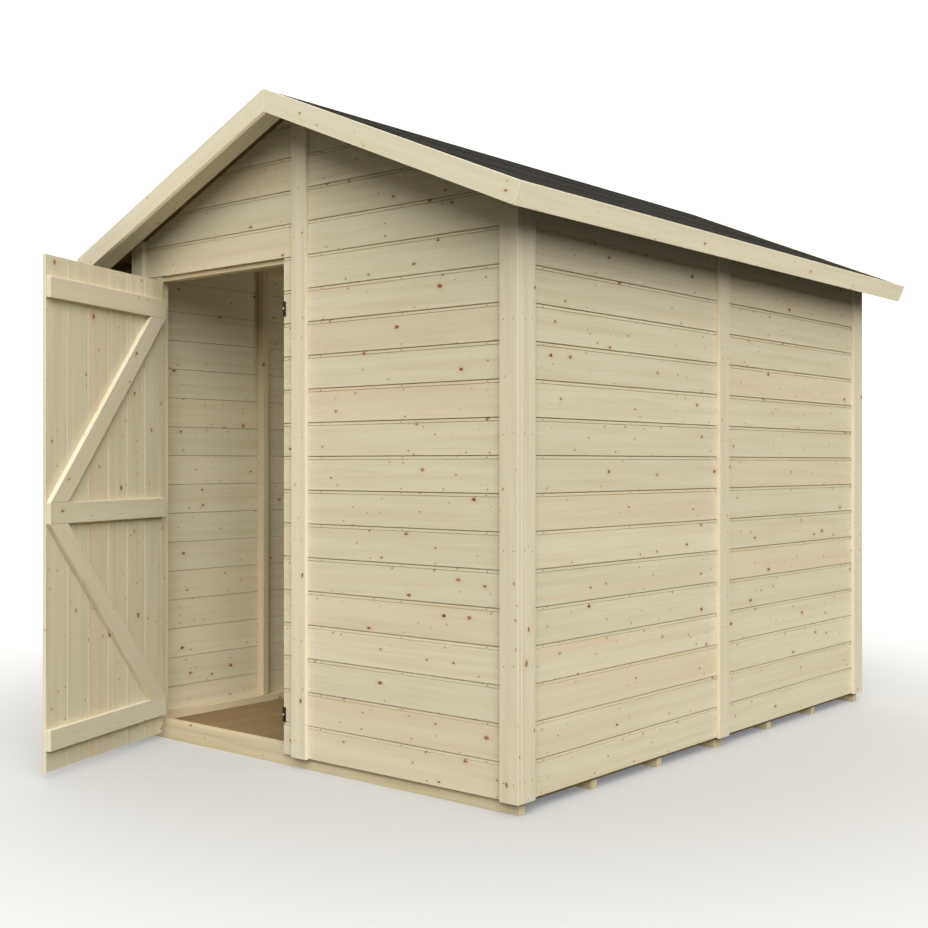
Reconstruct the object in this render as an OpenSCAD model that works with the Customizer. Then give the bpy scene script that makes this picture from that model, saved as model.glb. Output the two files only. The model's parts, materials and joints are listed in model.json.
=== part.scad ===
// Wooden garden shed with an apex roof and one ledged and braced door.
// Width runs along X, depth along Y and height along Z. The door is in the front, at -Y.
// The origin is on the ground, under the middle of the floor. Every size is in millimetres.

/* [Walls] */
// Width over the cladding of the two side walls
wall_w = 1817; // [1780:1:2600]
// Depth over the cladding of the two end walls
wall_d = 2402; // [1600:1:3600]
// Thickness of the cladding boards
clad_t = 12; // [8:1:20]
// Height that one cladding board covers
board_h = 112; // [80:1:150]
// Height of the lowest cladding board, which is planed down
first_board_h = 111; // [60:1:150]
// Distance that the cladding hangs below the top of the floor
clad_lap = 1; // [0:1:11]

/* [Framing] */
// Depth of the wall framing, from the cladding inwards
frame_t = 35; // [20:1:60]
// Face width of the upright studs
stud_w = 28; // [22:1:34]
// Height of the rails at the bottom and the top of a wall
rail_h = 28; // [20:1:60]

/* [Floor] */
// Thickness of the floor boards
floor_t = 12; // [9:1:25]
// Height of the bearers under the floor
bearer_h = 28; // [20:1:75]
// Width of a bearer
bearer_w = 28; // [20:1:75]
// Number of bearers, an odd number, with the middle one of double width
bearer_count = 7; // [5:2:11]

/* [Roof] */
// Height of the ridge, at the top edge of the barge boards
ridge_h = 2237.5; // [2150:0.5:2900]
// Slope of the roof in degrees
roof_pitch = 23; // [15:0.1:30]
// Overhang of the eaves beyond the side cladding, measured level
eaves_out = 143.5; // [80:0.5:250]
// Overhang of the barge boards beyond the end cladding
gable_out = 169; // [110:1:300]
// Thickness of the roof boards
roof_board_t = 12; // [8:1:20]
// Thickness of the roofing felt
felt_t = 2.5; // [1.5:0.5:4]
// Distance from the top of the barge boards down to the felt
felt_drop = 1; // [0.5:0.5:5]
// Width of the overhang rafters behind the barge boards
rafter_w = 67; // [30:1:90]
// Width of the purlins and the eaves rails, along the slope
purlin_w = 28; // [20:1:60]
// Depth of the purlins, square to the slope
purlin_h = 44; // [30:1:90]

/* [Trim] */
// Width of the cover strips and the corner boards
trim_w = 70; // [40:1:110]
// Thickness of the cover strips and the corner boards
trim_t = 16; // [10:1:22]
// Distance that the trim hangs below the cladding
trim_drop = 2; // [0:1:6]
// Depth of the barge boards and the fascias, square to the slope
barge_h = 69.3; // [55:0.1:110]
// Thickness of the barge boards and the fascias
barge_t = 16; // [10:1:25]

/* [Door] */
// Width of the doorway
opening_w = 680; // [560:1:700]
// Distance from the middle of the front to the nearer side of the doorway
opening_side = 87; // [72:1:110]
// Number of cladding boards beside the doorway, counted up to its top
opening_boards = 15; // [12:1:15]
// Distance that the door posts stand back behind the cladding's edges
jamb_back = 15; // [0:1:15]
// Gap at each upright edge of the closed door
door_gap = 5.5; // [5.5:0.5:10]
// Gap between the closed door and the framing behind it
door_stand = 5; // [5:1:10]
// Gap between the closed door and the cladding over it
door_top_gap = 20.5; // [5:0.5:30]
// Height of the door's lower edge above the ground
door_bottom = 24.5; // [10:0.5:40]
// Thickness of the upright door boards
door_board_t = 12; // [9:1:20]
// Width of the ledges and braces
ledge_w = 70; // [50:1:110]
// Thickness of the ledges and braces
ledge_t = 18; // [12:1:22]
// Distance from the door's edges to the ends of the ledges
ledge_inset = 2; // [0:1:30]
// Distance from the door's lower edge to the bottom ledge
ledge_low = 67.5; // [55:0.5:160]
// Distance from the door's upper edge to the top ledge
ledge_high = 70.5; // [40:0.5:160]
// Angle of the open door, from closed
door_open = 70; // [0:1:150]

/* [Ironmongery] */
// Radius of a hinge pin
pin_r = 2.5; // [2:0.1:4]
// Radius of a hinge knuckle
knuckle_r = 4; // [4:0.5:6]
// Thickness of the hinge plates
plate_t = 2.5; // [1.5:0.5:3]
// Length of a hinge strap on the door
strap_len = 300; // [150:1:400]
// Width of a hinge strap beside its pin
strap_w = 34; // [24:1:50]
// Width of a hinge strap at its tip
strap_tip_w = 18; // [10:1:24]
// Width of the fixed leaf on the cladding
leaf_w = 42; // [30:1:60]
// Height of the fixed leaf
leaf_h = 96; // [70:1:140]
// Width of a turn button
button_w = 12; // [10:1:20]
// Height of a turn button
button_h = 50; // [40:1:70]
// Thickness of a turn button
button_t = 8; // [4:1:12]
// Distance from a ledge to the middle of the turn button beside it
button_off = 12; // [0:1:40]

/* [Hidden] */
$fn = 48;

// Colours of the bare timber, the framing in the shade, the felt and the ironmongery.
timber = [0.80, 0.75, 0.60];
trim_timber = [0.85, 0.81, 0.70];
frame_timber = [0.74, 0.67, 0.50];
felt_black = [0.10, 0.10, 0.10];
iron_black = [0.12, 0.11, 0.11];

// Levels, from the ground up.
floor_top = bearer_h + floor_t;
clad_bottom = floor_top - clad_lap;
trim_bottom = clad_bottom - trim_drop;
rail_top = floor_top + rail_h;
opening_top = clad_bottom + first_board_h + (opening_boards - 1) * board_h;

// Half sizes of the walls, at the cladding's face, at its back and inside the framing.
half_w = wall_w / 2;
half_d = wall_d / 2;
frame_x = half_w - clad_t;
frame_y = half_d - clad_t;
room_x = frame_x - frame_t;
room_y = frame_y - frame_t;

// The roof's layers, as depths square to the slope below the top of the barge boards.
// Sloping faces are fitted with a hair of clearance, the seat.
roof_seat = 0.1;
felt_v = felt_drop + felt_t;
deck_v = felt_v + roof_board_t;
under_v = deck_v + roof_seat;
stud_v = under_v + rail_h + roof_seat;
slope_len = (half_w + eaves_out) / cos(roof_pitch);
fascia_u = slope_len - barge_t;
deck_u = fascia_u - roof_seat;
barge_y = half_d + gable_out;
roof_y = barge_y - barge_t;
rafter_y = roof_y - rafter_w;
purlin_u = slope_len / 2;

// The doorway and the closed door.
opening_x0 = -opening_side - opening_w;
opening_x1 = -opening_side;
door_w = opening_w - 2 * door_gap;
door_top = opening_top - door_top_gap;
door_h = door_top - door_bottom;
door_back_y = -frame_y - door_stand;
door_face_y = door_back_y - door_board_t;
head_show = 18;

// The hinge pins stand over the gap at the door's left edge.
pin_x = opening_x0 + door_gap / 2;
pin_y = door_face_y - knuckle_r;
pin_play = 0.05;
knuckle_gap = 0.3;
knuckle_len = 28;
screw_r = 2.2;
leaf_screws = [0.3, 0.7];
leaf_screw_rise = 0.36;
strap_screws = [0.15, 0.5, 0.9];
strap_x0 = pin_x + knuckle_r + knuckle_gap;

// Heights of the ledges' lower edges.
ledge_z0 = door_bottom + ledge_low;
ledge_z2 = door_top - ledge_high - ledge_w;
ledge_z1 = (ledge_z0 + ledge_z2) / 2;
ledge_x0 = opening_x0 + door_gap + ledge_inset;
ledge_x1 = opening_x1 - door_gap - ledge_inset;
hinge_heights = [for (z = [ledge_z0, ledge_z1, ledge_z2]) z + ledge_w / 2];
button_heights = [ledge_z0 + ledge_w + button_off, ledge_z2 - button_off];

// Height of the roof's layer at depth v, over the point x.
function roof_z(x, v) = ridge_h - abs(x) * tan(roof_pitch) - v / cos(roof_pitch);

// The point at distance u down the slope and depth v square to it.
function slope_point(u, v) = [
    u * cos(roof_pitch) - v * sin(roof_pitch),
    ridge_h - u * sin(roof_pitch) - v * cos(roof_pitch)
];

// Length of the level cut at the end of a brace of width w, in a bay of length l and height h.
function brace_cut(l, h, w) =
    let (a = 1 - pow(w / h, 2), b = 2 * l * pow(w / h, 2), c = -w * w * (1 + pow(l / h, 2)))
    (-b + sqrt(b * b - 4 * a * c)) / (2 * a);

// A flat shape in X and Z, made thick from y0 to y1.
module upright(points, y0, y1) {
    translate([0, y1, 0])
        rotate([90, 0, 0])
            linear_extrude(y1 - y0)
                polygon(points);
}

// A box between two corners.
module block(low, high) {
    translate(low)
        cube(high - low);
}

// Its children, and again mirrored to the other side or the other end.
module both_sides() {
    children();
    mirror([1, 0, 0]) children();
}
module both_ends() {
    children();
    mirror([0, 1, 0]) children();
}

// A layer of the right-hand slope, from the ridge down to u1, between two depths.
module slope_layer(u1, v0, v1, y0, y1) {
    upright([
        [0, roof_z(0, v0)], slope_point(u1, v0), slope_point(u1, v1), [0, roof_z(0, v1)]
    ], y0, y1);
}

// A bar along the right-hand slope, square to it.
module slope_bar(u0, u1, v0, v1, y0, y1) {
    upright([
        slope_point(u0, v0), slope_point(u1, v0), slope_point(u1, v1), slope_point(u0, v1)
    ], y0, y1);
}

// A piece of an end wall from x0 to x1, from z0 up to the roof layer at depth v.
// A piece that crosses the middle gets its peak there.
module end_piece(x0, x1, z0, v, y0, y1) {
    peak = x0 < 0 && x1 > 0 ? [[0, roof_z(0, v)]] : [];
    upright(concat([[x0, z0], [x1, z0], [x1, roof_z(x1, v)]], peak, [[x0, roof_z(x0, v)]]), y0, y1);
}

// A piece of the right-hand side wall from x0 to x1, from z0 up to the roof boards.
module side_piece(x0, x1, z0, y0, y1) {
    upright([[x0, z0], [x1, z0], [x1, roof_z(x1, under_v)], [x0, roof_z(x0, under_v)]], y0, y1);
}

// Bearers across the two floor panels. The end ones reach under the side cladding, and
// the two in the middle lie against each other as one.
module bearers() {
    panel_bays = (bearer_count - 1) / 2;
    bay = (frame_y - bearer_w) / panel_bays;
    color(frame_timber) {
        both_ends() {
            block([-half_w, -frame_y, 0], [half_w, -frame_y + bearer_w, bearer_h]);
            for (i = [1 : panel_bays - 1])
                translate([0, -frame_y + i * bay, 0])
                    block([-frame_x, 0, 0], [frame_x, bearer_w, bearer_h]);
        }
        block([-frame_x, -bearer_w, 0], [frame_x, bearer_w, bearer_h]);
    }
}

module floor_boards() {
    color(timber)
        block([-frame_x, -frame_y, bearer_h], [frame_x, frame_y, floor_top]);
}

// Cladding of the end walls. Each wall is two panels that meet in the middle.
module front_wall_right() {
    color(timber)
        end_piece(0, half_w, clad_bottom, under_v, -half_d, -frame_y);
}
module front_wall_beside_door() {
    color(timber) {
        block([-half_w, -half_d, clad_bottom], [opening_x0, -frame_y, opening_top]);
        block([opening_x1, -half_d, clad_bottom], [0, -frame_y, opening_top]);
    }
}
module front_wall_over_door() {
    color(timber)
        end_piece(-half_w, 0, opening_top, under_v, -half_d, -frame_y);
}
module back_wall_right() {
    color(timber)
        end_piece(0, half_w, clad_bottom, under_v, frame_y, half_d);
}
module back_wall_left() {
    mirror([1, 0, 0]) back_wall_right();
}

// Cladding of the side walls, which fits between the end walls.
module right_wall_front() {
    color(timber)
        side_piece(frame_x, half_w, clad_bottom, -frame_y, 0);
}
module right_wall_back() {
    mirror([0, 1, 0]) right_wall_front();
}
module left_wall_front() {
    mirror([1, 0, 0]) right_wall_front();
}
module left_wall_back() {
    mirror([1, 0, 0]) right_wall_back();
}

// A stud of an end wall, from the bottom rail up to the sloping rail.
module end_stud(x0) {
    end_piece(x0, x0 + stud_w, rail_top, stud_v, -frame_y, -room_y);
}

// Studs at the corner, halfway along the panel and at the middle of the wall.
module right_panel_studs() {
    end_stud(frame_x - stud_w);
    end_stud((half_w - stud_w) / 2);
}

// The two middle studs stand against each other as one post.
module middle_studs() {
    end_piece(-stud_w, stud_w, rail_top, stud_v, -frame_y, -room_y);
}
module front_studs() {
    color(frame_timber) {
        right_panel_studs();
        middle_studs();
        end_stud(-frame_x);
        end_stud(opening_x0 - jamb_back - stud_w);
        end_stud(opening_x1 + jamb_back);
    }
}
module back_studs() {
    color(frame_timber)
        mirror([0, 1, 0]) {
            both_sides() right_panel_studs();
            middle_studs();
        }
}

// Studs of a side wall, between its bottom rail and its top rail.
module right_studs() {
    top = roof_z(frame_x, under_v) - rail_h;
    color(frame_timber) {
        both_ends() {
            block([room_x, -room_y, rail_top], [frame_x, -room_y + stud_w, top]);
            translate([0, -half_d / 2, 0])
                block([room_x, -stud_w / 2, rail_top], [frame_x, stud_w / 2, top]);
        }
        block([room_x, -stud_w, rail_top], [frame_x, stud_w, top]);
    }
}
module left_studs() {
    mirror([1, 0, 0]) right_studs();
}

// Bottom rails on the floor. The front one is also the door's sill.
module bottom_rails_ends() {
    color(frame_timber)
        both_ends()
            block([-frame_x, -frame_y, floor_top], [frame_x, -room_y, rail_top]);
}
module bottom_rails_sides() {
    color(frame_timber)
        both_sides()
            block([room_x, -room_y, floor_top], [frame_x, room_y, rail_top]);
}

// Top rails of the side walls, planed to the slope.
module top_rails_sides() {
    color(frame_timber)
        both_sides()
            side_piece(room_x, frame_x, roof_z(frame_x, under_v) - rail_h, -room_y, room_y);
}

// Sloping rails under the roof boards, inside the cladding of the two end walls.
module gable_rails_right() {
    color(frame_timber)
        both_ends()
            upright([
                [0, roof_z(0, under_v)], [frame_x, roof_z(frame_x, under_v)],
                [frame_x, roof_z(frame_x, under_v + rail_h)], [0, roof_z(0, under_v + rail_h)]
            ], -frame_y, -room_y);
}
module gable_rails_left() {
    mirror([1, 0, 0]) gable_rails_right();
}

// The head rail shows below the cladding and stops the closed door.
module door_head() {
    low = opening_top - head_show;
    color(frame_timber)
        block([opening_x0 - jamb_back, -frame_y, low],
            [opening_x1 + jamb_back, -room_y, low + rail_h]);
}

// Strips over the joints between the wall panels.
module cover_strips_ends() {
    color(trim_timber)
        both_ends()
            end_piece(-trim_w / 2, trim_w / 2, trim_bottom, under_v, -half_d - trim_t, -half_d);
}
module cover_strips_sides() {
    color(trim_timber)
        both_sides()
            side_piece(half_w, half_w + trim_t, trim_bottom, -trim_w / 2, trim_w / 2);
}

// Corner boards. The ones on the end walls cover the edges of the ones on the side walls.
module corner_boards_ends() {
    edge = half_w + trim_t;
    color(trim_timber)
        both_ends()
            both_sides()
                end_piece(edge - trim_w, edge, trim_bottom, under_v, -half_d - trim_t, -half_d);
}
module corner_boards_sides() {
    color(trim_timber)
        both_ends()
            both_sides()
                side_piece(half_w, half_w + trim_t, trim_bottom, -half_d, -half_d + trim_w);
}

// Barge boards up the gables, mitred at the ridge and cut square at the eaves.
module barge_boards_right() {
    color(trim_timber)
        both_ends()
            slope_layer(slope_len, 0, barge_h, -barge_y, -roof_y);
}
module barge_boards_left() {
    mirror([1, 0, 0]) barge_boards_right();
}
module fascia_right() {
    color(trim_timber)
        slope_bar(fascia_u, slope_len, 0, barge_h, -roof_y, roof_y);
}
module fascia_left() {
    mirror([1, 0, 0]) fascia_right();
}

module roof_boards_right() {
    color(frame_timber)
        slope_layer(deck_u, felt_v, deck_v, -roof_y, roof_y);
}
module roof_boards_left() {
    mirror([1, 0, 0]) roof_boards_right();
}

// One skin of felt over both slopes, folded at the ridge.
module roof_felt() {
    eaves_top = slope_point(deck_u, felt_drop);
    eaves_low = slope_point(deck_u, felt_v);
    color(felt_black)
        upright([
            [0, roof_z(0, felt_drop)], eaves_top, eaves_low, [0, roof_z(0, felt_v)],
            [-eaves_low[0], eaves_low[1]], [-eaves_top[0], eaves_top[1]]
        ], -roof_y, roof_y);
}

// Rafters that close the overhang behind the barge boards, down to their lower edge.
module overhang_rafters_right() {
    color(trim_timber)
        both_ends()
            slope_layer(deck_u, under_v, barge_h, -roof_y, -rafter_y);
}
module overhang_rafters_left() {
    mirror([1, 0, 0]) overhang_rafters_right();
}

// Purlins between the gables, and rails along the eaves behind the fascias.
module roof_rails() {
    color(frame_timber)
        both_sides() {
            slope_bar(purlin_u - purlin_w / 2, purlin_u + purlin_w / 2,
                under_v, under_v + purlin_h, -room_y, room_y);
            slope_bar(deck_u - purlin_w, deck_u, under_v, barge_h, -rafter_y, rafter_y);
        }
}

// Two buttons on the cladding beside the doorway, turned upright.
module turn_buttons() {
    color(iron_black)
        for (z = button_heights)
            block([opening_x1, -half_d - button_t, z - button_h / 2],
                [opening_x1 + button_w, -half_d, z + button_h / 2]);
}

// Fixed leaves: a plate on the cladding, two outer knuckles and the pin through them.
module hinge_leaf(z) {
    plate_y = -half_d - plate_t;
    reach = (knuckle_len - knuckle_gap) / 2;
    difference() {
        block([pin_x - leaf_w, plate_y, z - leaf_h / 2], [opening_x0, -half_d, z + leaf_h / 2]);
        for (x = leaf_screws, s = [-1, 1])
            translate([pin_x - x * leaf_w, -half_d, z + s * leaf_h * leaf_screw_rise])
                rotate([90, 0, 0])
                    cylinder(h = 3 * plate_t, r = screw_r, center = true);
    }
    for (s = [-1, 1])
        translate([0, 0, z + s * (knuckle_len / 2 + knuckle_gap + reach / 2)]) {
            translate([pin_x, pin_y, 0])
                cylinder(h = reach, r = knuckle_r, center = true);
            block([pin_x - knuckle_r, pin_y, -reach / 2], [opening_x0, -half_d, reach / 2]);
        }
    translate([pin_x, pin_y, z])
        cylinder(h = 2 * knuckle_len, r = pin_r, center = true);
}
module hinge_leaves() {
    color(iron_black)
        for (z = hinge_heights)
            hinge_leaf(z);
}

// Everything of the door is made closed, then swung open about the hinge pins.
module swing() {
    translate([pin_x, pin_y, 0])
        rotate([0, 0, -door_open])
            translate([-pin_x, -pin_y, 0])
                children();
}
module door_boards() {
    color(timber)
        swing()
            block([opening_x0 + door_gap, door_face_y, door_bottom],
                [opening_x1 - door_gap, door_back_y, door_top]);
}
module ledge(z) {
    color(trim_timber)
        swing()
            block([ledge_x0, door_back_y, z], [ledge_x1, door_back_y + ledge_t, z + ledge_w]);
}
module ledge_top() {
    ledge(ledge_z2);
}
module ledge_middle() {
    ledge(ledge_z1);
}
module ledge_bottom() {
    ledge(ledge_z0);
}

// A brace between two ledges. Its upper end is on the hinge side, unless it is flipped.
module brace(z0, z1, flipped) {
    cut = brace_cut(ledge_x1 - ledge_x0, z1 - z0, ledge_w);
    high = flipped ? z0 : z1;
    low = flipped ? z1 : z0;
    color(trim_timber)
        swing()
            upright([
                [ledge_x0, high], [ledge_x0 + cut, high], [ledge_x1, low], [ledge_x1 - cut, low]
            ], door_back_y, door_back_y + ledge_t);
}
module brace_upper() {
    brace(ledge_z1 + ledge_w, ledge_z2, false);
}
module brace_lower() {
    brace(ledge_z0 + ledge_w, ledge_z1, true);
}

// Tapered straps on the door's outer face, each with one bored knuckle on the pin.
module hinge_strap(z) {
    back = door_face_y;
    difference() {
        union() {
            upright([
                [strap_x0, z - strap_w / 2], [pin_x + strap_len, z - strap_tip_w / 2],
                [pin_x + strap_len, z + strap_tip_w / 2], [strap_x0, z + strap_w / 2]
            ], back - plate_t, back);
            block([pin_x, back - plate_t, z - knuckle_len / 2],
                [strap_x0, back, z + knuckle_len / 2]);
            translate([pin_x, pin_y, z])
                cylinder(h = knuckle_len, r = knuckle_r, center = true);
        }
        translate([pin_x, pin_y, z])
            cylinder(h = 2 * knuckle_len, r = pin_r + pin_play, center = true);
        for (x = strap_screws)
            translate([pin_x + x * strap_len, back, z])
                rotate([90, 0, 0])
                    cylinder(h = 3 * plate_t, r = screw_r, center = true);
    }
}
module hinge_straps() {
    color(iron_black)
        swing()
            for (z = hinge_heights)
                hinge_strap(z);
}

bearers();
floor_boards();  // floor
front_wall_right();
front_wall_beside_door();
front_wall_over_door();
back_wall_left();
back_wall_right();
left_wall_front();
left_wall_back();
right_wall_front();
right_wall_back();
front_studs();
back_studs();
left_studs();
right_studs();
bottom_rails_ends();
bottom_rails_sides();
top_rails_sides();
gable_rails_left();
gable_rails_right();
door_head();
cover_strips_ends();
cover_strips_sides();
corner_boards_ends();
corner_boards_sides();
barge_boards_left();
barge_boards_right();
fascia_left();
fascia_right();
roof_boards_left();
roof_boards_right();
roof_felt();
overhang_rafters_left();
overhang_rafters_right();
roof_rails();
turn_buttons();
hinge_leaves();
door_boards();
ledge_top();
ledge_middle();
ledge_bottom();
brace_upper();
brace_lower();
hinge_straps();
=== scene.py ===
"""A wooden garden shed: board cladding, framing, felt roof and a ledged and braced door."""

import json
import math
import random

import bmesh
import bpy
from mathutils import Matrix, Vector

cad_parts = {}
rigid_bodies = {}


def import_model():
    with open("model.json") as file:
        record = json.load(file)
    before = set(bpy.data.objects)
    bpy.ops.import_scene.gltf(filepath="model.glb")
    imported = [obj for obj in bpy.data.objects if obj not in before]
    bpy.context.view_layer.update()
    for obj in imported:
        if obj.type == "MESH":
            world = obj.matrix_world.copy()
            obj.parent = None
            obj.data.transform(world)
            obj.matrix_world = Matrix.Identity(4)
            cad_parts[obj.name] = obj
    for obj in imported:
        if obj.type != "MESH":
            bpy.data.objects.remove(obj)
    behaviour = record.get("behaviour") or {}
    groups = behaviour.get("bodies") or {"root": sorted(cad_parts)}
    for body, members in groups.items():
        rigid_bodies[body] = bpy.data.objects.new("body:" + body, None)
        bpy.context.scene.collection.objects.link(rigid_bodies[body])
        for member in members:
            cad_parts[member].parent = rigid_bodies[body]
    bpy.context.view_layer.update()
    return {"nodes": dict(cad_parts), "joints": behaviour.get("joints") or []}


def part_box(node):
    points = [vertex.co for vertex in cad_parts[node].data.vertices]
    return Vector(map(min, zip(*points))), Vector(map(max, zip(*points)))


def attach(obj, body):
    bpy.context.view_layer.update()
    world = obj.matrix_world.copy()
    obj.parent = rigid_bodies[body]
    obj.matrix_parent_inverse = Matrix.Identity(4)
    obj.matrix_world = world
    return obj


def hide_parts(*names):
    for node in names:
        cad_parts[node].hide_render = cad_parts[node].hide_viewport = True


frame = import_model()
nodes = frame["nodes"]
chance = random.Random(20)

RIGHT = Vector((1, 0, 0))
BACK = Vector((0, 1, 0))
UP = Vector((0, 0, 1))

# Sizes of the joinery, in metres.
COVER = 0.112
FIRST_COVER = 0.111
TONGUE = 0.0055
LIP = 0.0027
BAND = 0.0125
BAND_DEPTH = 0.0012
GROOVE = 0.0023
GROOVE_DEPTH = 0.0045
ARRIS = 0.0012
TRIM_ARRIS = 0.002
EAVES_ARRIS = 0.0015
BUTTON_ARRIS = 0.003
BACK_GAP = 0.0020
SEAT = 0.0001
SLIVER = 0.002
OVERRUN = 0.02
SILL_DEPTH = 0.012
SILL_RAIL_DEPTH = 0.035
CORNER_T = 0.016
DOOR_BOARDS = 6
FLOOR_BOARDS = 16
ROOF_BOARDS = 24

# Felt.
FELT_COURSES = 3
FELT_LAP = 0.06
FELT_T = 0.0009
FELT_RISE = 0.0012
RIDGE_FELT_T = 0.0007
RIDGE_FELT_LIFT = 0.0015
RIDGE_FELT_REACH = 0.14

# Nails and screws.
NAIL_R = 0.0022
NAIL_H = 0.0004
NAIL_SIDES = 8
NAIL_DROP = 0.0066
NAIL_INSET = 0.058
NAIL_STRAY = 0.003
TRIM_NAIL_STEP = 0.336
TRIM_NAIL_SPREAD = 0.018
TRIM_NAIL_STRAY = 0.004
SCREW_R = 0.0055
SCREW_H = 0.0006
SCREW_SIDES = 12
SCREW_DROP = 0.055
BUTTON_SCREW_R = 0.0036
BUTTON_SCREW_H = 0.0016

# The floor and the light round the shed.
STAGE_R = 3000.0
SKY_LIGHT = 0.85
HORIZON_LIGHT = 0.05
BACKDROP_LIGHT = 1.2


# The shed's own measures, read from the frame.
def corners(name):
    """The low and high corners of a CAD node."""
    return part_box(name)


end_low, end_high = corners("front_wall_right")
side_low, side_high = corners("right_wall_front")
half_w = end_high.x
half_d = -end_low.y
frame_x = side_low.x
frame_y = -end_high.y
clad_t = half_w - frame_x
clad_foot = end_low.z
under_ridge = end_high.z
pitch = math.atan((under_ridge - side_high.z) / frame_x)
beside = sorted({round(v.co.x, 5) for v in nodes["front_wall_beside_door"].data.vertices})
door_left, door_right = beside[1], beside[2]
opening_top = corners("front_wall_over_door")[0].z
strip_low, strip_high = corners("cover_strips_ends")
trim_half = strip_high.x
deck_high = corners("roof_boards_right")[1]
felt_high = corners("roof_felt")[1]

# The door's hinge, and how far it stands open.
hinge = frame["joints"][0]
pin = Vector(hinge["pos_m"])
swing = Matrix.Translation(pin) @ Matrix.Rotation(math.radians(hinge["range_deg"][0]), 4, "Z")
swing = swing @ Matrix.Translation(-pin)
shut = swing.inverted()


def down(side):
    """The way down the slope on one side."""
    return Vector((side * math.cos(pitch), 0, -math.sin(pitch)))


def out_of(side):
    """The way square out of the slope on one side."""
    return Vector((side * math.sin(pitch), 0, math.cos(pitch)))


def paint(red, green, blue):
    """A colour on the 0 to 255 scale, as the shader wants it."""
    made = []
    for level in (red, green, blue):
        part = level / 255
        made.append(part / 12.92 if part <= 0.04045 else ((part + 0.055) / 1.055) ** 2.4)
    return (*made, 1.0)


class Wire:
    """A number, vector or colour on its way through a finish's nodes."""

    def __init__(self, finish, socket):
        self.finish = finish
        self.socket = socket

    def maths(self, operation, *values):
        """The result of one maths node."""
        inputs = dict(enumerate(values))
        return self.finish.add("ShaderNodeMath", {"operation": operation}, inputs)

    def __add__(self, other):
        return self.maths("ADD", self, other)

    def __radd__(self, other):
        return self.maths("ADD", other, self)

    def __sub__(self, other):
        return self.maths("SUBTRACT", self, other)

    def __rsub__(self, other):
        return self.maths("SUBTRACT", other, self)

    def __mul__(self, other):
        return self.maths("MULTIPLY", self, other)

    def __pow__(self, other):
        return self.maths("POWER", self, other)

    def __gt__(self, other):
        return self.maths("GREATER_THAN", self, other)

    def ramp(self, low, high):
        """0 at low and 1 at high, eased at both ends."""
        return self.finish.add(
            "ShaderNodeMapRange",
            {"interpolation_type": "SMOOTHSTEP"},
            {"Value": self, "From Min": low, "From Max": high},
        )


class Finish:
    """One material, and the nodes that make it."""

    def __init__(self, name):
        self.material = bpy.data.materials.new(name)
        self.material.use_nodes = True
        self.tree = self.material.node_tree
        self.shader = self.tree.nodes["Principled BSDF"]

    def add(self, kind, settings=None, inputs=None, output=0):
        """A new node with these settings and inputs, as the wire out of it."""
        node = self.tree.nodes.new(kind)
        for key, value in (settings or {}).items():
            setattr(node, key, value)
        for key, value in (inputs or {}).items():
            if isinstance(value, Wire):
                self.tree.links.new(value.socket, node.inputs[key])
            else:
                node.inputs[key].default_value = value
        return Wire(self, node.outputs[output])

    def split(self, vector):
        first = self.add("ShaderNodeSeparateXYZ", None, {0: vector})
        outputs = first.socket.node.outputs
        return [Wire(self, socket) for socket in outputs]

    def vector(self, x, y, z=0.0):
        return self.add("ShaderNodeCombineXYZ", None, {0: x, 1: y, 2: z})

    def noise(self, vector, scale=1.0, detail=2.0, rough=0.5):
        inputs = {"Vector": vector, "Scale": scale, "Detail": detail, "Roughness": rough}
        return self.add("ShaderNodeTexNoise", None, inputs)

    def mix(self, factor, first, second, blend="MIX"):
        settings = {"data_type": "RGBA", "blend_type": blend}
        return self.add("ShaderNodeMix", settings, {0: factor, 6: first, 7: second}, 2)

    def set(self, **values):
        """Sets or wires up the shader's own inputs."""
        for key, value in values.items():
            socket = self.shader.inputs[key.replace("_", " ")]
            if isinstance(value, Wire):
                self.tree.links.new(value.socket, socket)
            else:
                socket.default_value = value

    def bump(self, height, strength, distance):
        inputs = {"Height": height, "Strength": strength, "Distance": distance}
        self.set(Normal=self.add("ShaderNodeBump", None, inputs))


def knot_field(wood, at, cell, chosen, biggest, wander):
    """Scattered knots: each one's body and darker middle, and the grain pulled round it."""
    spot = {"voronoi_dimensions": "2D", "feature": "F1"}
    found = wood.add("ShaderNodeTexVoronoi", spot, {"Vector": at, "Scale": 1 / cell})
    picked = wood.split(Wire(wood, found.socket.node.outputs["Color"]))
    away = found * cell + wander * biggest
    size = (picked[1] ** 2.0 * 0.75 + 0.25) * biggest * (picked[0] > chosen)
    body = 1 - away.ramp(size * 0.75, size * 1.15 + 0.0001)
    middle = (1 - away.ramp(size * 0.3, size * 0.95 + 0.0001)) * (picked[2] * 0.8 + 0.2)
    pulled = (1 - away.ramp(size * 0.7, size * 4.0 + 0.0001)) * (picked[0] > chosen)
    return body, middle, pulled


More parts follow.
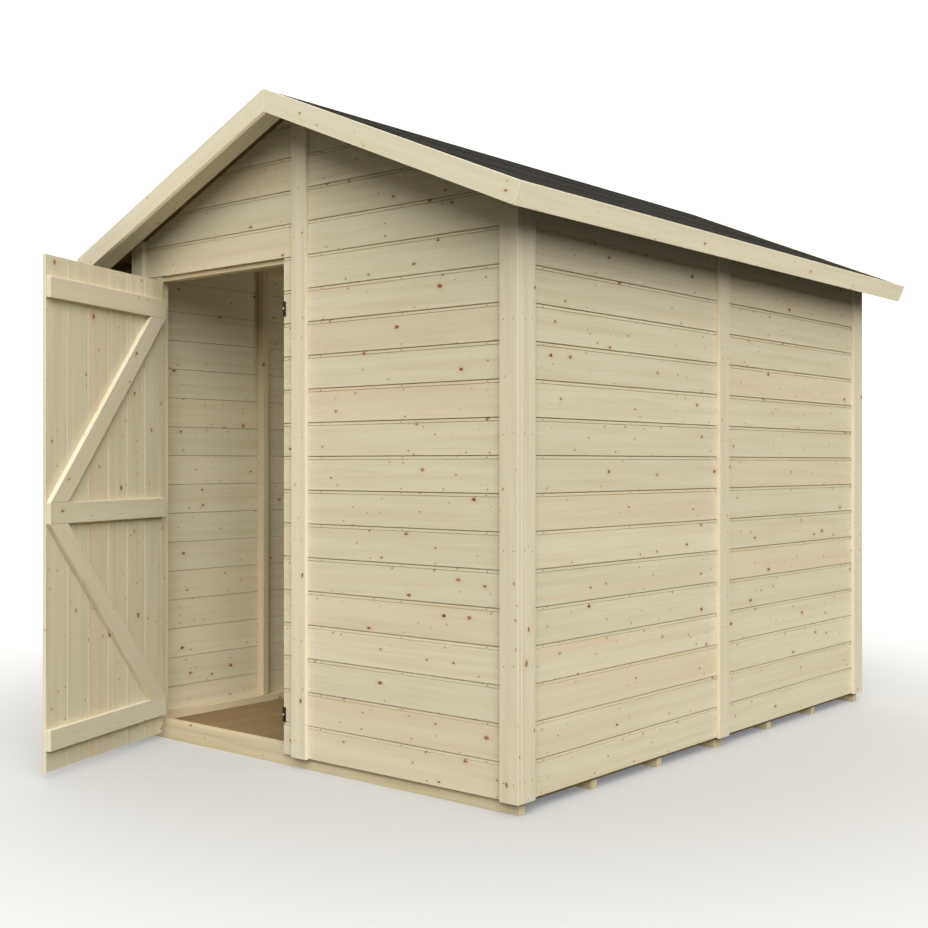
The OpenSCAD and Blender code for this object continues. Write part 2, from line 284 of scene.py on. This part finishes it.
def timber(name, pale, deep, cool, warm, knots=0.70, shade=1.0):
    """Planed spruce. Each board's own grain and tone come with its mesh."""
    wood = Finish(name)
    attribute = "ShaderNodeAttribute"
    place = wood.add(attribute, {"attribute_name": "grain"}, None, "Vector")
    tone = wood.add(attribute, {"attribute_name": "tone"}, None, "Vector")
    along, across, through = wood.split(place)
    tint, light, spread = wood.split(tone)

    # Knots, large and small. They pull the rings round them.
    face = across + through * 0.9
    wander = (wood.noise(place, 120.0, 2.0) - 0.5) * 1.1
    at = wood.vector(along * 0.66, face + along * 0.013)
    body, middle, pulled = knot_field(wood, at, 0.066, knots, 0.0070, wander)
    fine = wood.vector(along * 0.80, face * 1.15 + 0.37)
    speck, eye, fine_pull = knot_field(wood, fine, 0.045, knots + 0.08, 0.0034, wander)
    pull = pulled.maths("MAXIMUM", pulled, fine_pull)

    # Growth rings, cut at a distance from the heart that is the board's own.
    wobble = wood.noise(wood.vector(along * 1.1, across * 9.0, through * 9.0), 1.0, 2.0)
    heart = wood.vector(0.0, across + (tint - 0.5) * 0.16, through + light * 0.05 + 0.012)
    radius = wood.add("ShaderNodeVectorMath", {"operation": "LENGTH"}, {0: heart}, "Value")
    radius = (radius + wobble * 0.034 + pull * 0.004) * 1150.0
    rings = (radius.maths("SINE", radius) * 0.5 + 0.5) ** 2.2
    streak = wood.noise(wood.vector(along * 1.6, across * 40.0, through * 40.0), 1.0, 3.0, 0.55)
    fibre = wood.noise(wood.vector(along * 9.0, across * 520.0, through * 520.0), 1.0, 2.0, 0.6)
    cloud = wood.noise(wood.vector(along * 3.2, across * 14.0, through * 14.0), 1.0, 2.0)
    flush = wood.noise(wood.vector(along * 0.9, across * 30.0, spread * 9.0), 1.0, 2.0)

    colour = wood.mix(streak.ramp(0.34, 0.74) * 0.62, pale, deep)
    colour = wood.mix(tint.ramp(0.0, 0.40) * -0.22 + 0.22, colour, cool)
    colour = wood.mix(tint.ramp(0.62, 1.0) * 0.22, colour, warm)
    colour = wood.mix(cloud.ramp(0.52, 0.78) * 0.16, colour, cool)
    colour = wood.mix(flush.ramp(0.62, 0.80) * (0.15 + spread * 0.45), colour, warm)
    colour = wood.mix(rings * 0.085 * shade, colour, deep, "MULTIPLY")
    colour = wood.mix(fibre.ramp(0.35, 0.75) * 0.05, colour, deep, "MULTIPLY")
    colour = wood.mix(pull * 0.16, colour, paint(206, 158, 104))
    colour = wood.mix(body.maths("MAXIMUM", body, speck) * 0.9, colour, paint(186, 132, 80))
    colour = wood.mix(middle.maths("MAXIMUM", middle, eye) * 0.9, colour, paint(94, 56, 28))
    level = light * 0.06 + 0.965
    colour = wood.mix(1.0, colour, wood.vector(level, level, level), "MULTIPLY")

    wood.set(Base_Color=colour)
    wood.set(Roughness=0.62 + fibre * 0.22)
    wood.shader.inputs["Specular IOR Level"].default_value = 0.22
    wood.bump(fibre * 0.4 + rings * 0.25 - body * 0.6 + streak * 0.3, 0.30, 0.0005)
    return wood.material


def iron(name):
    """Black coated steel, a little uneven and rubbed."""
    coat = Finish(name)
    place = coat.add("ShaderNodeTexCoord", None, None, "Object")
    grit = coat.noise(place, 900.0, 3.0)
    rub = coat.noise(place, 60.0, 4.0, 0.6)
    colour = coat.mix(rub.ramp(0.55, 0.75) * 0.5, paint(26, 25, 24), paint(62, 59, 55))
    coat.set(Base_Color=colour, Roughness=0.38 + grit * 0.25, Metallic=rub.ramp(0.6, 0.8) * 0.5)
    coat.bump(grit, 0.25, 0.0004)
    return coat.material


def steel(name, light, dark):
    """Bright or galvanised steel of nails and screws, dulled here and there."""
    metal = Finish(name)
    place = metal.add("ShaderNodeTexCoord", None, None, "Object")
    dull = metal.noise(place, 700.0, 2.0)
    colour = metal.mix(dull.ramp(0.35, 0.7), light, dark)
    metal.set(Base_Color=colour, Roughness=0.42 + dull * 0.3, Metallic=0.12)
    metal.bump(dull, 0.2, 0.0002)
    return metal.material


def felt(name):
    """Bitumen felt with a coat of dark mineral grit."""
    coat = Finish(name)
    place = coat.add("ShaderNodeTexCoord", None, None, "Object")
    grit = coat.noise(place, 620.0, 2.0, 0.7)
    grain = coat.add("ShaderNodeTexVoronoi", None, {"Vector": place, "Scale": 420.0})
    each = coat.split(Wire(coat, grain.socket.node.outputs["Color"]))
    wash = coat.noise(place, 3.5, 4.0, 0.6)
    colour = coat.mix(grit.ramp(0.35, 0.7), paint(24, 23, 20), paint(40, 38, 32))
    # Lighter specks of grit: partly the grit's own colour, partly painted glints.
    colour = coat.mix(each[0].ramp(0.86, 0.97) * 0.4, colour, paint(96, 92, 76))
    colour = coat.mix(wash.ramp(0.45, 0.75) * 0.22, colour, paint(62, 58, 45))
    coat.set(Base_Color=colour, Roughness=1.0 - each[1] * 0.08)
    coat.shader.inputs["Specular IOR Level"].default_value = 0.05
    coat.bump(grit + grain * 0.8, 0.2, 0.0004)
    return coat.material


CLADDING = timber("spruce_cladding", paint(229, 221, 194), paint(215, 203, 167),
                  paint(218, 217, 186), paint(233, 202, 164))
TRIM = timber("spruce_trim", paint(230, 222, 198), paint(219, 207, 175),
              paint(221, 219, 192), paint(232, 211, 178), 0.78, 0.8)
FRAMING = timber("spruce_framing", paint(222, 209, 174), paint(204, 186, 142),
                 paint(210, 206, 166), paint(220, 190, 146), 0.72)
# The floor boards are darker than the walls' spruce: painted shade of the shed's inside.
FLOORING_PAINTED_SHADE = timber("spruce_floor_painted_shade", paint(154, 134, 94), paint(132, 110, 70),
                  paint(142, 132, 92), paint(152, 120, 80), 0.7)
# Roof boards and roof rails are far darker than the other spruce. This is painted shade, so the
# soffit under the eaves reads black.
DECKING_PAINTED_SHADE = timber("spruce_roof_boards_painted_shade", paint(116, 98, 64), paint(90, 74, 45),
                 paint(98, 88, 58), paint(112, 82, 50), 0.72)
IRON = iron("black_coated_iron")
NAIL = steel("nail_steel", paint(112, 104, 80), paint(92, 84, 62))
SCREW = steel("screw_steel", paint(236, 230, 212), paint(196, 188, 164))
FELT = felt("mineral_felt")


class Piece:
    """Boards, bars or fixings that are gathered into one object."""

    def __init__(self, name, material):
        self.name = name
        self.material = material
        self.mesh = bmesh.new()
        self.mesh.verts.layers.float_vector.new("grain")
        self.mesh.verts.layers.float_vector.new("tone")

    def take(self, part, place, tone=None):
        """Adds one board. Its grain runs along the X axis of place."""
        start = chance.uniform(0.0, 60.0)
        if tone is None:
            tone = (chance.random(), chance.random(), chance.random())
        grain = part.verts.layers.float_vector.new("grain")
        tones = part.verts.layers.float_vector.new("tone")
        back = place.inverted()
        for vert in part.verts:
            at = back @ vert.co
            vert[grain] = Vector((at.x + start, at.y, at.z))
            vert[tones] = Vector(tone)
        whole = bpy.data.meshes.new("part")
        part.to_mesh(whole)
        part.free()
        self.mesh.from_mesh(whole)
        bpy.data.meshes.remove(whole)

    def done(self, body, slot, *stands_for):
        """Makes the object, flat shaded, hangs it on the body it rides on and hides the CAD nodes
        it stands for.
        """
        mesh = bpy.data.meshes.new(self.name)
        for face in self.mesh.faces:
            face.smooth = False
        self.mesh.to_mesh(mesh)
        self.mesh.free()
        mesh.materials.append(self.material)
        thing = bpy.data.objects.new(self.name, mesh)
        bpy.context.scene.collection.objects.link(thing)
        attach(thing, body)
        if stands_for:
            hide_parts(*stands_for)


def axes(along, out, origin):
    """A place whose X runs along a board and whose Z comes out of its face."""
    across = out.cross(along)
    turn = Matrix((along, across, out)).transposed().to_4x4()
    return Matrix.Translation(origin) @ turn


def close(part):
    """Closes the face that a saw cut has opened."""
    rim = [edge for edge in part.edges if edge.is_boundary]
    if rim:
        bmesh.ops.edgeloop_fill(part, edges=rim)


def saw(part, point, normal):
    """Cuts away what lies beyond a plane."""
    every = part.verts[:] + part.edges[:] + part.faces[:]
    bmesh.ops.bisect_plane(
        part, geom=every, dist=1e-6, plane_co=point, plane_no=normal, clear_outer=True
    )
    close(part)


def ease(part, width):
    """Rounds the sharp edges of a part."""
    sharp = [e for e in part.edges if e.is_manifold and e.calc_face_angle(0.0) > 0.3]
    bmesh.ops.bevel(
        part, geom=sharp, offset=width, segments=2, profile=0.5,
        affect="EDGES", material=-1, clamp_overlap=True,
    )


def run(outline, length):
    """A board with this outline in its Y and Z, run out along X."""
    part = bmesh.new()
    face = part.faces.new([part.verts.new((0, y, z)) for y, z in outline])
    grown = bmesh.ops.extrude_face_region(part, geom=[face])
    far = [item for item in grown["geom"] if isinstance(item, bmesh.types.BMVert)]
    bmesh.ops.translate(part, verts=far, vec=(length, 0, 0))
    bmesh.ops.recalc_face_normals(part, faces=part.faces[:])
    return part


def clad_outline(cover, thick):
    """Section of a cladding board: a lip below, then a grooved band and a tongue above."""
    inner = thick * 0.5
    band = cover - BAND
    sunk = thick - BAND_DEPTH
    rest = 0.0005
    slack = 0.0003
    slant = 0.0004
    return [
        (TONGUE + BACK_GAP, 0), (TONGUE + rest, inner), (0, inner), (0, thick - ARRIS),
        (ARRIS * 0.3, thick - ARRIS * 0.3), (ARRIS, thick), (band, thick),
        (band + slack, thick - GROOVE_DEPTH), (band + GROOVE - slant, thick - GROOVE_DEPTH),
        (band + GROOVE, sunk), (cover - LIP - slant, sunk), (cover - LIP, sunk - slant),
        (cover - LIP, inner - slack), (cover + TONGUE, inner - slack), (cover + TONGUE, 0),
    ]


def clad(piece, out, start, end, foot, head, cuts=()):
    """A stack of cladding boards from start to end along a wall, between two heights."""
    along = UP.cross(out)
    back = out * (frame_x if abs(out.x) > 0.5 else frame_y)
    first, last = sorted((along.dot(start), along.dot(end)))
    level = clad_foot
    while level < head - SLIVER:
        cover = FIRST_COVER if level == clad_foot else COVER
        if level + cover > foot + SLIVER:
            planed = clad_t - chance.uniform(0.0, 0.0003)
            part = run(clad_outline(cover, planed), last - first)
            origin = along * first + back + UP * level
            place = axes(along, out, origin)
            bmesh.ops.transform(part, matrix=place, verts=part.verts)
            if level + cover > head - SLIVER:
                saw(part, UP * head, UP)
            for point, normal in cuts:
                if part.verts:
                    saw(part, point, normal)
            if part.verts:
                piece.take(part, place)
            else:
                part.free()
        level += cover


def matched_outline(cover, thick, groove=True, tongue=True):
    """Section of a matched board: a tongue on one edge, a groove on the other."""
    gap = 0.0010
    vee = 0.0016
    slack = 0.0002
    low = thick * 0.36
    high = thick * 0.64
    left = [(0, high), (TONGUE, high), (TONGUE, low), (0, low)] if groove else []
    far = cover - gap
    tip = far + TONGUE
    right = [(far, low), (tip, low + slack), (tip, high - slack), (far, high)]
    return [
        (vee, 0), (far - vee, 0), (far, vee), *(right if tongue else []),
        (far, thick - vee), (far - vee, thick), (vee, thick), (0, thick - vee),
        *left, (0, vee),
    ]


def matched(piece, count, place, width, length, thick, tones=None, cut=None):
    """A row of matched boards. They run along the X of place and lie side by side along its Y."""
    cover = width / count
    for index in range(count):
        outline = matched_outline(cover, thick, index > 0, index < count - 1)
        part = run(outline, length)
        spot = place @ Matrix.Translation((0, index * cover, 0))
        bmesh.ops.transform(part, matrix=spot, verts=part.verts)
        if cut:
            saw(part, *cut)
        piece.take(part, spot, tones[index] if tones else None)


def bars(piece, name, along, out, ease_by=ARRIS, stretch=None):
    """The bars of a CAD node, with their arrises eased and a grain of their own."""
    copy = bmesh.new()
    copy.from_mesh(nodes[name].data)
    bmesh.ops.remove_doubles(copy, verts=copy.verts, dist=2e-5)
    flat = math.radians(1)
    bmesh.ops.dissolve_limit(copy, angle_limit=flat, verts=copy.verts, edges=copy.edges)
    left = set(copy.verts)
    while left:
        seed = min(left, key=lambda v: tuple(round(c, 4) for c in v.co))
        group, edge = {seed}, [seed]
        while edge:
            vert = edge.pop()
            for link in vert.link_edges:
                other = link.other_vert(vert)
                if other not in group:
                    group.add(other)
                    edge.append(other)
        left -= group
        part = copy.copy()
        keep = {tuple(v.co) for v in group}
        spare = [v for v in part.verts if tuple(v.co) not in keep]
        bmesh.ops.delete(part, geom=spare, context="VERTS")
        if stretch:
            stretch(part)
        bmesh.ops.recalc_face_normals(part, faces=part.faces[:])
        ease(part, ease_by)
        middle = sum((v.co for v in part.verts), Vector()) / len(part.verts)
        piece.take(part, axes(along, out, middle))
    copy.free()


def framing(
    name, along, out, slot="framing", material=FRAMING, body="shed", ease_by=ARRIS, stretch=None
):
    """One CAD node of plain bars, finished as timber."""
    piece = Piece(name + "_timber", material)
    bars(piece, name, along, out, ease_by, stretch)
    piece.done(body, slot, name)


# Cladding of the four walls.
ridge_point = UP * under_ridge
slopes = {side: (ridge_point, out_of(side)) for side in (-1, 1)}
walls = [
    ("front_wall_right", -BACK, 0.0, half_w, 1),
    ("back_wall_left", BACK, -half_w, 0.0, -1),
    ("back_wall_right", BACK, 0.0, half_w, 1),
    ("right_wall_front", RIGHT, -frame_y, 0.0, 1),
    ("right_wall_back", RIGHT, 0.0, frame_y, 1),
    ("left_wall_front", -RIGHT, -frame_y, 0.0, -1),
    ("left_wall_back", -RIGHT, 0.0, frame_y, -1),
]
for name, out, start, end, side in walls:
    run_way = RIGHT if abs(out.y) > 0.5 else BACK
    piece = Piece(name + "_boards", CLADDING)
    clad(piece, out, run_way * start, run_way * end, clad_foot, under_ridge, [slopes[side]])
    piece.done("shed", "cladding", name)

piece = Piece("front_wall_beside_door_boards", CLADDING)
clad(piece, -BACK, RIGHT * -half_w, RIGHT * door_left, clad_foot, opening_top)
clad(piece, -BACK, RIGHT * door_right, RIGHT * 0.0, clad_foot, opening_top)
piece.done("shed", "cladding", "front_wall_beside_door")
piece = Piece("front_wall_over_door_boards", CLADDING)
clad(piece, -BACK, RIGHT * -half_w, RIGHT * 0.0, opening_top, under_ridge, [slopes[-1]])
piece.done("shed", "cladding", "front_wall_over_door")


# Framing, trim and the timber of the roof.
def deepen_sill(part):
    """The front rail reaches down over the ends of the floor boards, as the door's sill."""
    if max(v.co.y for v in part.verts) < 0:
        foot = min(v.co.z for v in part.verts)
        for vert in part.verts:
            if vert.co.z < foot + 0.001:
                vert.co.z -= SILL_DEPTH


framing("bearers", RIGHT, UP)
framing("front_studs", UP, -BACK)
framing("back_studs", UP, BACK)
framing("left_studs", UP, -RIGHT)
framing("right_studs", UP, RIGHT)
framing("bottom_rails_ends", RIGHT, -BACK, stretch=deepen_sill)
framing("bottom_rails_sides", BACK, UP)
framing("top_rails_sides", BACK, UP)
framing("gable_rails_left", down(-1), BACK)
framing("gable_rails_right", down(1), BACK)
framing("door_head", RIGHT, -BACK)
# The roof rails take the dark roof-board timber: painted shade in the eaves.
framing("roof_rails", BACK, UP, material=DECKING_PAINTED_SHADE)
framing("overhang_rafters_left", down(-1), BACK, "trim", TRIM)
framing("overhang_rafters_right", down(1), BACK, "trim", TRIM)
framing("cover_strips_ends", UP, -BACK, "trim", TRIM, ease_by=TRIM_ARRIS)
framing("cover_strips_sides", UP, RIGHT, "trim", TRIM, ease_by=TRIM_ARRIS)
framing("corner_boards_ends", UP, -BACK, "trim", TRIM, ease_by=TRIM_ARRIS)
framing("corner_boards_sides", UP, RIGHT, "trim", TRIM, ease_by=TRIM_ARRIS)
framing("barge_boards_left", down(-1), -BACK, "trim", TRIM, ease_by=EAVES_ARRIS)
framing("barge_boards_right", down(1), -BACK, "trim", TRIM, ease_by=EAVES_ARRIS)
framing("fascia_left", BACK, down(-1), "trim", TRIM, ease_by=EAVES_ARRIS)
framing("fascia_right", BACK, down(1), "trim", TRIM, ease_by=EAVES_ARRIS)

# Floor boards run from front to back, behind the sill.
floor_low, floor_high = corners("floor")
floor_start = corners("bottom_rails_ends")[0].y + SILL_RAIL_DEPTH
piece = Piece("floor_boards", FLOORING_PAINTED_SHADE)
place = axes(BACK, UP, Vector((floor_high.x, floor_start, floor_low.z)))
floor_w = floor_high.x - floor_low.x
floor_t = floor_high.z - floor_low.z
matched(piece, FLOOR_BOARDS, place, floor_w, floor_high.y - floor_start, floor_t)
piece.done("shed", "floor", "floor")

# Roof boards run down each slope, from the ridge to the fascia.
deck_top = deck_high.z
deck_under = under_ridge + SEAT / math.cos(pitch)
deck_t = (deck_top - deck_under) * math.cos(pitch)
for side, name in ((1, "roof_boards_right"), (-1, "roof_boards_left")):
    piece = Piece(name + "_timber", DECKING_PAINTED_SHADE)
    way = down(side)
    out = out_of(side)
    across = out.cross(way)
    origin = UP * deck_under - way * OVERRUN - across * deck_high.y
    place = axes(way, out, origin)
    far = deck_high.x / math.cos(pitch) - deck_t * math.tan(pitch)
    at_ridge = (Vector(), RIGHT * -side)
    matched(piece, ROOF_BOARDS, place, 2 * deck_high.y, far + OVERRUN, deck_t, cut=at_ridge)
    piece.done("shed", "roof_boards", name)


# Felt: three courses up each slope, lapped, and a strip folded over the ridge.
def sheet(thick, length):
    """A strip of felt as wide as the roof is long, run out along X."""
    width = 2 * felt_high.y
    return run([(0, 0), (width, 0), (width, thick), (0, thick)], length)


piece = Piece("roof_felt_courses", FELT)
felt_len = felt_high.x / math.cos(pitch)
course = felt_len / FELT_COURSES
for side in (-1, 1):
    way = down(side)
    out = out_of(side)
    across = out.cross(way)
    base = UP * deck_top - across * felt_high.y
    for index in range(FELT_COURSES):
        start = index * course - (FELT_LAP if index else OVERRUN)
        end = min((index + 1) * course, felt_len - 0.001)
        part = sheet(FELT_T, end - start)
        for vert in part.verts:
            vert.co.z += SEAT + FELT_RISE * vert.co.x / (end - start)
        place = axes(way, out, base + way * start)
        bmesh.ops.transform(part, matrix=place, verts=part.verts)
        if index == 0:
            saw(part, Vector(), RIGHT * -side)
        piece.take(part, place)
for side in (-1, 1):
    way = down(side)
    out = out_of(side)
    across = out.cross(way)
    part = sheet(RIDGE_FELT_T, RIDGE_FELT_REACH + OVERRUN)
    origin = UP * deck_top - across * felt_high.y + out * RIDGE_FELT_LIFT - way * OVERRUN
    place = axes(way, out, origin)
    bmesh.ops.transform(part, matrix=place, verts=part.verts)
    saw(part, Vector(), RIGHT * -side)
    piece.take(part, place)
piece.done("shed", "felt", "roof_felt")

# The door, made shut and swung open on its hinges.
door_corners = [shut @ v.co for v in nodes["door_boards"].data.vertices]
door_low = Vector([min(c[i] for c in door_corners) for i in range(3)])
door_high = Vector([max(c[i] for c in door_corners) for i in range(3)])
turn = swing.to_3x3()
face = turn @ -BACK
piece = Piece("door_boards_matched", CLADDING)
place = axes(UP, -BACK, Vector((door_high.x, door_high.y, door_low.z)))
door_w = door_high.x - door_low.x
door_h = door_high.z - door_low.z
door_t = door_high.y - door_low.y
# Tint, lightness and flush of each board, from the free edge to the hinges.
tones = [
    (0.4, 0.6, 0.4), (0.02, 0.6, 0.1), (0.95, 0.5, 0.9),
    (0.5, 0.45, 0.6), (0.45, 0.6, 0.2), (0.52, 0.5, 0.3),
]
matched(piece, DOOR_BOARDS, swing @ place, door_w, door_h, door_t, tones)
piece.done("door", "cladding", "door_boards")
for name in ("ledge_top", "ledge_middle", "ledge_bottom"):
    framing(name, turn @ RIGHT, -face, "trim", TRIM, "door", TRIM_ARRIS)
for name in ("brace_upper", "brace_lower"):
    found = [shut @ v.co for v in nodes[name].data.vertices]
    left = [c.z for c in found if c.x < door_low.x + 0.02]
    right = [c.z for c in found if c.x > door_high.x - 0.02]
    fall = sum(left, 0.0) / len(left) - sum(right, 0.0) / len(right)
    lean = Vector((door_w, 0, -fall)).normalized()
    framing(name, turn @ lean, -face, "trim", TRIM, "door", TRIM_ARRIS)


# Ironmongery.
def dome(radius, height, sides):
    """A low domed head, flat side down at the origin."""
    part = bmesh.new()
    bmesh.ops.create_cone(
        part, cap_ends=True, segments=sides, radius1=radius, radius2=radius * 0.55, depth=height
    )
    bmesh.ops.translate(part, verts=part.verts, vec=(0, 0, height / 2))
    return part


def heads(piece, spots, out, radius, height, sides):
    """Nail or screw heads, each lying on its face."""
    side = out.orthogonal().normalized()
    for spot in spots:
        part = dome(radius, height, sides)
        place = axes(side, out, spot)
        bmesh.ops.transform(part, matrix=place, verts=part.verts)
        piece.take(part, place)


def nail(piece, spots, out):
    """The heads of nails at these spots."""
    heads(piece, spots, out, NAIL_R, NAIL_H, NAIL_SIDES)


for name in ("hinge_leaves", "hinge_straps"):
    nodes[name].data.materials.clear()
    nodes[name].data.materials.append(IRON)

button_low, button_high = corners("turn_buttons")
piece = Piece("turn_buttons_iron", IRON)
screws = Piece("turn_button_screws", SCREW)
bars(piece, "turn_buttons", UP, -BACK, BUTTON_ARRIS)
levels = sorted({round(v.co.z, 4) for v in nodes["turn_buttons"].data.vertices})
for low, high in ((levels[0], levels[1]), (levels[2], levels[3])):
    middle = Vector(((button_low.x + button_high.x) / 2, button_low.y, (low + high) / 2))
    spots = [middle + BACK * 0.0002]
    heads(screws, spots, -BACK, BUTTON_SCREW_R, BUTTON_SCREW_H, SCREW_SIDES)
piece.done("shed", "ironmongery", "turn_buttons")
screws.done("shed", "ironmongery")

# Nails: one in the sunk band of each board at each row, and pairs up the trim.
nails = Piece("cladding_nails", NAIL)


def nail_rows(out, face_at, rows, top_of):
    """A nail in each board of a wall, at each of the rows along it."""
    along = UP.cross(out)
    found = []
    for row in rows:
        level = clad_foot
        while True:
            cover = FIRST_COVER if level == clad_foot else COVER
            z = level + cover - NAIL_DROP
            shift = chance.uniform(-NAIL_STRAY, NAIL_STRAY)
            if z < top_of(row) - 0.02:
                found.append(along * (row + shift) + out * face_at + UP * z)
            level += cover
            if level > top_of(row):
                break
    return found


def roof_over(x):
    """The height of the roof's underside this far to one side of the ridge."""
    return under_ridge - abs(x) * math.tan(pitch)


def roof_at_side(along):
    """The height of the roof's underside all along a side wall."""
    return roof_over(half_w)


def in_doorway(spot):
    """Whether a nail would hang in the doorway or in the edge of its boards."""
    return door_left - 0.01 < spot.x < door_right + 0.01 and spot.z < opening_top


beside_strip = trim_half + NAIL_INSET
edge_x = half_w + CORNER_T - 2 * trim_half - NAIL_INSET
edge_y = half_d - 2 * trim_half - NAIL_INSET
quarter_x = half_w / 2
quarter_y = half_d / 2
side_rows = [-edge_y, -quarter_y, -beside_strip, beside_strip, quarter_y, edge_y]
end_rows = [-edge_x, -quarter_x, -beside_strip, beside_strip, quarter_x, edge_x]
for out in (RIGHT, -RIGHT):
    nail(nails, nail_rows(out, half_w - BAND_DEPTH, side_rows, roof_at_side), out)
nail(nails, nail_rows(BACK, half_d - BAND_DEPTH, end_rows, roof_over), BACK)
front = nail_rows(-BACK, half_d - BAND_DEPTH, end_rows, roof_over)
nail(nails, [spot for spot in front if not in_doorway(spot)], -BACK)
nails.done("shed", "ironmongery")

trim_nails = Piece("trim_nails", NAIL)
trim_t = strip_high.y - half_d
trim_foot = strip_low.z
fascia_foot = corners("fascia_right")[0].z


def up_trim(out, face_at, middle, top):
    """Pairs of nails up an upright board of trim."""
    along = UP.cross(out)
    found = []
    z = trim_foot + 0.06
    while z < top - 0.04:
        for aside in (-TRIM_NAIL_SPREAD, TRIM_NAIL_SPREAD):
            level = z + chance.uniform(-TRIM_NAIL_STRAY, TRIM_NAIL_STRAY)
            found.append(along * (middle + aside) + out * face_at + UP * level)
        z += TRIM_NAIL_STEP
    return found


for out in (BACK, -BACK):
    for middle in (-half_w - trim_t + trim_half, 0.0, half_w + trim_t - trim_half):
        spots = up_trim(out, half_d + trim_t - SEAT, middle, roof_over(middle))
        nail(trim_nails, spots, out)
for out in (RIGHT, -RIGHT):
    for middle in (-half_d + trim_half, 0.0, half_d - trim_half):
        spots = up_trim(out, half_w + trim_t - SEAT, middle, roof_over(half_w + trim_t))
        nail(trim_nails, spots, out)
trim_nails.done("shed", "ironmongery")

trim_screws = Piece("trim_screws", SCREW)
screw_z = fascia_foot - SCREW_DROP
for out, face_at, middles in (
    (-BACK, half_d + trim_t, (half_w + trim_t - trim_half,)),
    (RIGHT, half_w + trim_t, (-half_d + trim_half, -0.014, 0.014, half_d - trim_half)),
):
    along = UP.cross(out)
    spots = [along * middle + out * (face_at - SEAT) + UP * screw_z for middle in middles]
    heads(trim_screws, spots, out, SCREW_R, SCREW_H, SCREW_SIDES)
trim_screws.done("shed", "ironmongery")


# Floor, light and camera.
ground = bpy.data.meshes.new("pale_floor")
shape = bmesh.new()
bmesh.ops.create_circle(shape, cap_ends=True, segments=96, radius=STAGE_R)
shape.to_mesh(ground)
shape.free()
stage = bpy.data.objects.new("pale_floor", ground)
bpy.context.scene.collection.objects.link(stage)
pale = Finish("pale_floor")
spot = pale.add("ShaderNodeTexCoord", None, None, "Object")
reach = pale.add("ShaderNodeVectorMath", {"operation": "LENGTH"}, {0: spot}, "Value")
# The floor glows. The glow is dimmest under and round the shed, as painted shade at its foot, and
# rises to a white that meets the backdrop.
glow_under_painted_shade = (0.15, 0.155, 0.175, 1)
glow_around = (0.40, 0.41, 0.45, 1)
glow_beyond = (1.05, 1.05, 1.05, 1)
pale.set(Base_Color=paint(180, 179, 174), Roughness=1.0)
glow_near_painted_shade = pale.mix(reach.ramp(1.2, 3.4), glow_under_painted_shade, glow_around)
pale.set(Emission_Color=pale.mix(reach.ramp(3.0, 9.0), glow_near_painted_shade, glow_beyond))
pale.shader.inputs["Emission Strength"].default_value = 1.0
pale.shader.inputs["Specular IOR Level"].default_value = 0.0
ground.materials.append(pale.material)
stage.visible_diffuse = False
stage.visible_glossy = False
stage.visible_shadow = False

# The sky is brightest overhead. The camera sees an even white behind the shed.
world = bpy.data.worlds.new("studio")
bpy.context.scene.world = world
world.use_nodes = True
tree = world.node_tree
sky = tree.nodes["Background"]
coords = tree.nodes.new("ShaderNodeTexCoord")
parts = tree.nodes.new("ShaderNodeSeparateXYZ")
tree.links.new(coords.outputs["Generated"], parts.inputs[0])
rise = tree.nodes.new("ShaderNodeMapRange")
rise.inputs["To Min"].default_value = HORIZON_LIGHT
rise.inputs["To Max"].default_value = SKY_LIGHT
tree.links.new(parts.outputs[2], rise.inputs["Value"])
sight = tree.nodes.new("ShaderNodeLightPath")
backdrop = tree.nodes.new("ShaderNodeMix")
backdrop.inputs["B"].default_value = BACKDROP_LIGHT
tree.links.new(sight.outputs["Is Camera Ray"], backdrop.inputs["Factor"])
tree.links.new(rise.outputs[0], backdrop.inputs["A"])
tree.links.new(backdrop.outputs[0], sky.inputs["Strength"])
sky.inputs["Color"].default_value = (1.0, 0.97, 0.90, 1.0)


def softbox(name, toward, energy, spread, colour, reaches=()):
    """A broad soft light that shines from this way, on everything or only on what it reaches."""
    light = bpy.data.lights.new(name, "SUN")
    light.energy = energy
    light.angle = math.radians(spread)
    light.color = colour
    lamp = bpy.data.objects.new(name, light)
    lamp.rotation_euler = Vector(toward).to_track_quat("Z", "Y").to_euler()
    bpy.context.scene.collection.objects.link(lamp)
    if reaches:
        lit = bpy.data.collections.new(name + "_reaches")
        for thing in reaches:
            lit.objects.link(thing)
        lamp.light_linking.receiver_collection = lit


softbox(
    "key_light", toward=(0.59, -0.57, 0.63), energy=3.4, spread=62, colour=(1.0, 0.99, 0.97)
)
softbox(
    "light_off_the_floor", toward=(0.45, -0.45, -0.77), energy=0.18, spread=60,
    colour=(1.0, 0.98, 0.93),
)
softbox(
    "light_from_behind", toward=(-0.60, 0.62, 0.42), energy=1.2, spread=80,
    colour=(1.0, 0.98, 0.95),
)
lantern = bpy.data.lights.new("light_inside", "POINT")
lantern.energy = 3.5
lantern.shadow_soft_size = 0.25
lantern.color = (1.0, 0.95, 0.84)
inside = bpy.data.objects.new("light_inside", lantern)
inside.location = (-0.1, -0.2, 1.35)
bpy.context.scene.collection.objects.link(inside)
eaves = [thing for thing in bpy.data.objects if thing.name.startswith(("fascia", "barge"))]
softbox(
    "light_up_to_the_eaves", toward=(0.70, -0.20, -0.68), energy=1.35, spread=60,
    colour=(1.0, 0.99, 0.97), reaches=eaves,
)

view = bpy.data.cameras.new("camera")
view.lens = 50
view.sensor_width = 36
camera = bpy.data.objects.new("camera", view)
camera.location = (3.184, -4.151, 1.020)
camera.rotation_euler = (math.radians(90), 0, math.radians(40))
bpy.context.scene.collection.objects.link(camera)
bpy.context.scene.camera = camera
bpy.context.scene.view_settings.view_transform = "Standard"
